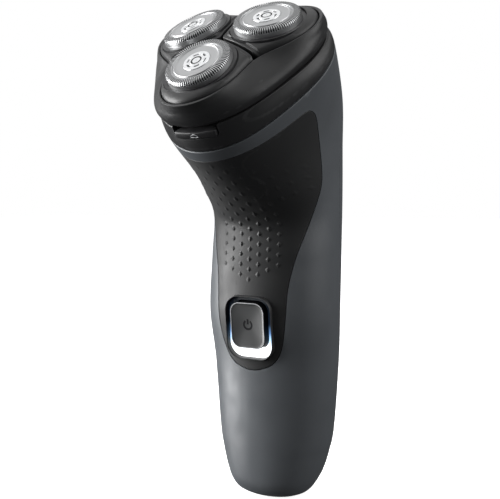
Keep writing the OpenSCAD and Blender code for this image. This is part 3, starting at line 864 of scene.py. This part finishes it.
def make_release_button():
    """A shallow curved key behind the slot, with a plain eject mark."""
    half_width, half_height = KEY_HALF
    rings = []
    for x in np.linspace(-half_width, half_width, 60):
        end = min(1, (half_width - abs(x)) / 0.5)
        soft = math.sqrt(max(1 - (1 - end) ** 2, 0))
        front = key_front(x)
        half = half_height * (0.75 + 0.25 * soft)
        ring = []
        for t in np.radians(np.linspace(-90, 90, 13)):
            bulge = math.cos(t) ** 0.35
            ring.append([x, front + 0.5 * (1 - bulge * soft), KEY_N + half * math.sin(t)])
        ring += [[x, -25.3, KEY_N + half], [x, -25.3, KEY_N - half]]
        rings.append(np.array(ring))
    key = loft("key", [from_head(r) for r in rings])
    flange = [(-25.85, -17.15), (-25.85, -14.35), (-25.2, -14.35), (-25.2, -17.15)]
    back = loft("flange", [from_head([[x, y, n] for y, n in flange]) for x in (-8.4, 8.4)])
    marks = eject_mark()
    plain = MATERIALS["black_plastic"]
    # The flange behind the key, seen through the slot's gaps, is painted near-black as shade; the eject mark
    # is grey print.
    for obj, material in ((key, plain), (back, SHADE_AND_PRINT_BLACK), (marks, MARK_GREY)):
        paint(obj, material)
    whole = join("release", [key, back, marks])
    piece(whole, "head_release_key", "release_key", plain, ["release_button"], 30)


def eject_mark():
    """A triangle over a bar, on the key's curved front."""
    triangle = ((-1.25, -16.0), (1.25, -16.0), (0.0, -15.15))
    bar = ((-1.25, -16.6), (1.25, -16.6), (1.25, -16.25), (-1.25, -16.25))
    parts = []
    for outline in (triangle, bar):
        rings = [[[x, key_front(x) - lift + 0.02, n] for x, n in outline] for lift in (-0.1, 0.03)]
        parts.append(loft("mark", [from_head(r) for r in rings]))
    return join("eject", parts)


# ---------------------------------------------------------------- the shaving head


def make_head_shell():
    outer = spline(SHELL_ROWS, np.linspace(0, 6, 70))
    mouth = (23.9, 0.268, 0, 0)
    lip = [[-4.9, 0, 24.55, 0.268, 0, 0], [-4.85, 0, 24.3, 0.268, 0, 0], [-4.9, 0, 24.05, 0.268, 0, 0]]
    inside = [[-5.05, 0, *mouth], [-6.5, 0, *mouth], [-8, 0, *mouth]]
    low = [[-12.5, 0.036, 27.72, 0.075, 0.045, 1.85], [-12.6, 0.036, 27.4, 0.075, 0.045, 1.85]]
    rings = head_rings([*low[::-1], *outer, *lip, *inside], HEAD_AROUND)
    rings += head_rings(SHELL_ROWS[3::-1], HEAD_AROUND, 1.7)
    shell = loft("shell", [from_head(r) for r in rings], closed=True)
    gap = box_cutter("hinge_gap", (-8.6, 25, -15), (8.6, 40, -9.4))
    move_points(gap, from_head)
    combine(shell, gap)
    section = ((24.2, -9.85), (24.2, -9.0), (21.8, -9.0), (21.8, -9.85))
    ledge = head_rings([[n, 0, r, 0, 0, 0] for r, n in section], 180)
    whole = join("shell", [shell, loft("ledge", [from_head(r) for r in ledge], closed=True)])
    piece(whole, "head_cover", "shaving_unit", MATERIALS["gloss_black"], ["head_shell"])


def smooth_max(a, b, k):
    """The larger of two, blended where they differ by less than k."""
    return np.maximum(a, b) + np.maximum(k - np.abs(a - b), 0) ** 2 / (4 * k)


def wedge_distance(x, y):
    """How far outside the pod's two straight sides a point is, in the head's plane."""
    slant = math.sin(math.radians(60))
    back = POD_GAP / 2 / slant
    lines = [s * 0.5 * x + slant * (y + back) for s in (1, -1)]
    return smooth_max(*lines, 0.8)


def pod_outline_distance(x, y):
    """How far outside the pod's whole outline a point is, with blended corners."""
    r, a = np.hypot(x, y), np.arctan2(x, -y)
    radius, lobe = POD_ROWS[0, 1:]
    return smooth_max(r - radius * (1 + lobe * np.cos(3 * a)), wedge_distance(x, y), 1.3)


def dome_height(x, y):
    """Height of the pods' common dome over the head's plane, by bisection in a fine table."""
    table = spline(POD_ROWS, np.linspace(0, len(POD_ROWS) - 1, 400))
    r, a = np.hypot(x, y), np.arctan2(x, -y)
    low, high = np.zeros(len(x), int), np.full(len(x), len(table) - 1)
    for _ in range(10):
        mid = (low + high) // 2
        outside = table[mid, 1] * (1 + table[mid, 2] * np.cos(3 * a)) > r
        low, high = np.where(outside, mid, low), np.where(outside, high, mid)
    n0, n1 = table[low], table[high]
    r0, r1 = (n[:, 1] * (1 + n[:, 2] * np.cos(3 * a)) for n in (n0, n1))
    t = np.clip((r0 - r) / np.maximum(r0 - r1, 1e-6), 0, 1)
    return n0[:, 0] + (n1[:, 0] - n0[:, 0]) * t


def make_pods():
    """Each pod is one skin from the well's wall, over the rounded rim and the dome, to the outer wall."""
    around, across = 480, 56
    centre = np.array([0, -CAP_DIST + 3 * math.tan(CAP_TILT)])
    turn = np.linspace(0, 2 * math.pi, around, endpoint=False)
    way = np.stack([np.sin(turn), -np.cos(turn)], 1)
    low, high = np.full(around, 11.0), np.full(around, 40.0)
    for _ in range(40):
        mid = (low + high) / 2
        p = centre + way * mid[:, None]
        inside = pod_outline_distance(p[:, 0], p[:, 1]) < 0
        low, high = np.where(inside, mid, low), np.where(inside, high, mid)
    reach = np.maximum(low, WELL_R + 0.45)
    rings = [well_ring(turn, depth, centre) for depth in (-7.3, -6.0, -4.6)]
    for s in np.linspace(0, 1, across):
        rho = WELL_R + (reach - WELL_R) * (1 - math.cos(math.pi * s)) / 2
        p = centre + way * rho[:, None]
        top = dome_height(p[:, 0], p[:, 1])
        side = -wedge_distance(p[:, 0], p[:, 1])
        step = np.clip((1.5 - side) / 0.35, 0, 1)
        top = top - 0.55 * step**2 * (3 - 2 * step)
        for distance, r in ((rho - WELL_R, 0.35), (reach - rho, 0.3)):
            near = np.clip(r - distance, 0, r)
            top = top - (r - np.sqrt(np.maximum(r**2 - near**2, 0)))
        rings.append(np.stack([p[:, 0], p[:, 1], top], 1))
    x, y, _ = rings[-1].T
    rings += [np.stack([x, y, np.full(around, depth)], 1) for depth in (-5.6, -6.5, -7.3)]
    for k in range(3):
        body = loft("pod", [from_head(r, k) for r in rings], closed=True)
        for side in (-1, 1):
            notch = box_cutter("notch", (side * 13 - 2, -2.4, -12), (side * 13 + 2, 2.4, -6.2))
            move_points(notch, lambda p, k=k: from_cap(p, k))
            combine(body, notch)
        black = MATERIALS["gloss_black"]
        piece(body, f"pod_cover_{k + 1}", f"pod_{k + 1}", black, [f"head_pod_{k + 1}"])


def well_ring(turn, depth, centre):
    """The well's wall, at one level."""
    x, y = WELL_R * np.sin(turn), centre[1] - WELL_R * np.cos(turn)
    return np.stack([x, y, np.full(len(turn), depth)], 1)


def turned(profile, columns, lowered, k, name):
    """A part of revolution in the cap's frame. lowered(column, row) gives a drop for slots and marks."""
    a = np.linspace(0, 2 * math.pi, columns, endpoint=False)
    rings = []
    for i, (r, z) in enumerate(profile):
        drop = np.array([lowered(j, i) for j in range(columns)])
        rings.append(np.stack([r * np.sin(a), -r * np.cos(a), z - drop], 1))
    return loft(name, [from_cap(r, k) for r in rings], closed=True)


def add_turned_map(obj, rows, columns):
    """A map of angle and radius, for lathe lines."""
    layer = obj.data.uv_layers.new(name="turned")
    for face in obj.data.polygons:
        for loop in face.loop_indices:
            v = obj.data.loops[loop].vertex_index
            layer.data[loop].uv = (v % columns / columns, v // columns / rows)


CAP_PROFILE = (
    (10.45, -5.2), (10.45, -3.0), (10.45, -1.5), (10.44, -1.1), (10.4, -0.85), (10.3, -0.58), (10.14, -0.34),
    (9.9, -0.16), (9.6, -0.05), (9.2, 0.0), (8.7, 0.01), (8.32, 0.0), (8.05, -0.02), (7.9, -0.06),
    (7.8, -0.26), (7.46, -0.26), (7.36, 0.0), (7.28, 0.1), (7.15, 0.13), (7.0, 0.1), (6.92, 0.0),
    (6.7, -0.11), (6.0, -0.13), (5.2, -0.13), (4.36, -0.12), (4.3, -0.2), (4.3, -0.55),
    (7.2, -0.75), (9.5, -0.75), (9.9, -1.2), (9.95, -5.2),
)


def make_caps():
    """Slotted caps, with painted shade in the slots. first and last are the profile rows that the slots cut.
    """
    columns = SLOT_COUNT * COLUMNS_PER_SLOT
    first, last = 4, 11

    def lowered(column, row):
        return 0.42 if first <= row <= last and column % COLUMNS_PER_SLOT in (4, 5, 6) else 0.0

    for k in range(3):
        body = turned(CAP_PROFILE, columns, lowered, k, "cap")
        paint(body, CAP_STEEL, SHADE_AND_PRINT_BLACK)
        # The slots' floors and sloping walls are painted near-black: painted shade inside the slots.
        index = np.zeros(len(body.data.polygons), int)
        for row in range(first - 1, last + 1):
            for column in range(columns):
                place = column % COLUMNS_PER_SLOT
                if place in (4, 5) or (first <= row < last and place in (3, 6)):
                    index[row * columns + column] = 1
        body.data.polygons.foreach_set("material_index", index)
        add_turned_map(body, len(CAP_PROFILE), columns)
        piece(body, f"cap_face_{k + 1}", f"cap_{k + 1}", CAP_STEEL, [f"shaving_cap_{k + 1}"], 40)


HUB_PROFILE = (
    (4.25, -0.5), (4.25, -0.05), (4.2, 0.02), (4.1, 0.05), (3.6, 0.06), (3.25, 0.06), (3.2, 0.06),
    (2.62, 0.06), (2.56, 0.06), (2.2, 0.06), (2.14, 0.1), (2.05, 0.14), (1.76, 0.14), (1.72, 0.02),
    (1.3, 0.02), (1.25, 0.12), (0.9, 0.14), (0.4, 0.14), (0.15, 0.14), (0.15, -0.3), (0.4, -0.5),
)


def make_hubs():
    """Polished hubs, with arcs sunk at one profile row and a dark ring at three."""
    columns = HUB_ARCS * COLUMNS_PER_ARC
    arc_row, ring_row = 6, 12

    def lowered(column, row):
        return 0.16 if row in (arc_row, arc_row + 1) and 6 <= column % COLUMNS_PER_ARC <= 28 else 0.0

    chrome = MATERIALS["hub_chrome"]
    for k in range(3):
        body = turned(HUB_PROFILE, columns, lowered, k, "hub")
        paint(body, chrome, HUB_SUNK_BLACK)
        # The sunk ring and the sunk arcs' floors are painted near-black.
        index = np.zeros(len(body.data.polygons), int)
        index[ring_row * columns : (ring_row + 3) * columns] = 1
        for column in range(columns):
            if 6 <= column % COLUMNS_PER_ARC < 28:
                index[arc_row * columns + column] = 1
        body.data.polygons.foreach_set("material_index", index)
        add_turned_map(body, len(HUB_PROFILE), columns)
        piece(body, f"hub_face_{k + 1}", f"cap_{k + 1}", chrome, [f"cap_hub_{k + 1}"], 40)


# ---------------------------------------------------------------- carried-over CAD nodes


def dress_cad_nodes():
    """CAD nodes with no finer piece keep their shape and get the finish of their slot."""
    slot_of = {s["node"]: s["material_slot"] for s in frame["record"]["subparts"]}
    for name, obj in frame["nodes"].items():
        paint(obj, MATERIALS[slot_of[name]])


# ---------------------------------------------------------------- floor, light, camera


def make_floor():
    """A pale sheet that the camera sees, but that adds no bounce light or reflection to the object."""
    edge, side = 2500.0, 9
    steps = np.linspace(-edge, edge, side)
    points = [[x, y, 0.0] for y in steps for x in steps]
    corners = [i * side + j for i in range(side - 1) for j in range(side - 1)]
    faces = [(a, a + 1, a + side + 1, a + side) for a in corners]
    floor = new_mesh("floor", points, faces)
    floor.data.transform(Matrix.Scale(0.001, 4))
    n = Nodes("floor_pale")
    tone = n.mix(n.ramp(n.noise(3, 3), 0, 1), (0.86, 0.86, 0.86), (0.9, 0.9, 0.9))
    n.link(tone, n.shader.inputs["Base Color"])
    n.link(n.ramp(n.noise(20, 3), 0.7, 0.85), n.shader.inputs["Roughness"])
    n.set(Specular_IOR_Level=0.1, Emission_Color=(1, 1, 1, 1), Emission_Strength=0.9)
    paint(floor, n.material)
    floor.visible_diffuse = floor.visible_glossy = False


def make_world():
    """White behind the object, and a weak grey as light on it."""
    world = bpy.data.worlds.new("studio")
    bpy.context.scene.world = world
    world.use_nodes = True
    tree = world.node_tree
    tree.nodes.clear()
    out = tree.nodes.new("ShaderNodeOutputWorld")
    seen, lit = tree.nodes.new("ShaderNodeBackground"), tree.nodes.new("ShaderNodeBackground")
    path, mix = tree.nodes.new("ShaderNodeLightPath"), tree.nodes.new("ShaderNodeMixShader")
    seen.inputs["Color"].default_value = (1, 1, 1, 1)
    seen.inputs["Strength"].default_value = 1.0
    lit.inputs["Color"].default_value = (0.95, 0.97, 1, 1)
    lit.inputs["Strength"].default_value = WORLD_LIGHT
    tree.links.new(path.outputs["Is Camera Ray"], mix.inputs["Fac"])
    tree.links.new(lit.outputs["Background"], mix.inputs[1])
    tree.links.new(seen.outputs["Background"], mix.inputs[2])
    tree.links.new(mix.outputs["Shader"], out.inputs["Surface"])


def soft_box(name, at, aim, width, height, watts):
    """A rectangular area light at one place, in metres, aimed at another."""
    light = bpy.data.lights.new(name, "AREA")
    light.shape = "RECTANGLE"
    light.size, light.size_y = width, height
    light.energy = watts
    obj = bpy.data.objects.new(name, light)
    obj.location = at
    obj.rotation_euler = (Vector(aim) - Vector(at)).to_track_quat("-Z", "Y").to_euler()
    bpy.context.scene.collection.objects.link(obj)


def make_lights():
    """A wide ceiling, a strong box at the left for the bright flank, and a weak one at the right."""
    soft_box("ceiling", (-0.3, 0.2, 1.5), (0, 0.2, 0), 2.6, 2.6, 19)
    soft_box("left_box", (-0.75, -0.38, 0.13), (0, -0.01, 0.08), 0.5, 0.9, 23.5)
    soft_box("right_box", (0.6, 0.05, 0.45), (0, 0, 0.1), 0.6, 0.6, 3.2)


def make_camera():
    """The photograph's view: place, direction and roll were solved from it."""
    bpy.context.scene.view_settings.view_transform = "Standard"
    at = Vector((141.34, -256.55, 103.1)) / 1000
    forward = Vector((-0.5085, 0.8583, -0.0695)).normalized()
    right = forward.cross(Vector((0, 0, 1))).normalized()
    up = right.cross(forward)
    roll = math.radians(-0.48)
    across = right * math.cos(roll) + up * math.sin(roll)
    above = up * math.cos(roll) - right * math.sin(roll)
    lens = bpy.data.cameras.new("camera")
    lens.sensor_width = 36
    lens.sensor_fit = "HORIZONTAL"
    lens.lens = FOCAL_WIDTHS * lens.sensor_width
    lens.clip_start, lens.clip_end = 0.01, 50
    camera = bpy.data.objects.new("camera", lens)
    axes = Matrix((across, above, -forward)).transposed().to_4x4()
    axes.translation = at
    camera.matrix_world = axes
    bpy.context.scene.collection.objects.link(camera)
    bpy.context.scene.camera = camera


def main():
    make_camera()
    dress_cad_nodes()
    make_front_housing()
    make_rear_housing()
    make_grip()
    make_neck_ring()
    make_bezel()
    make_light_ring()
    make_power_button()
    make_release_button()
    make_head_shell()
    make_pods()
    make_caps()
    make_hubs()
    make_floor()
    make_world()
    make_lights()


main()
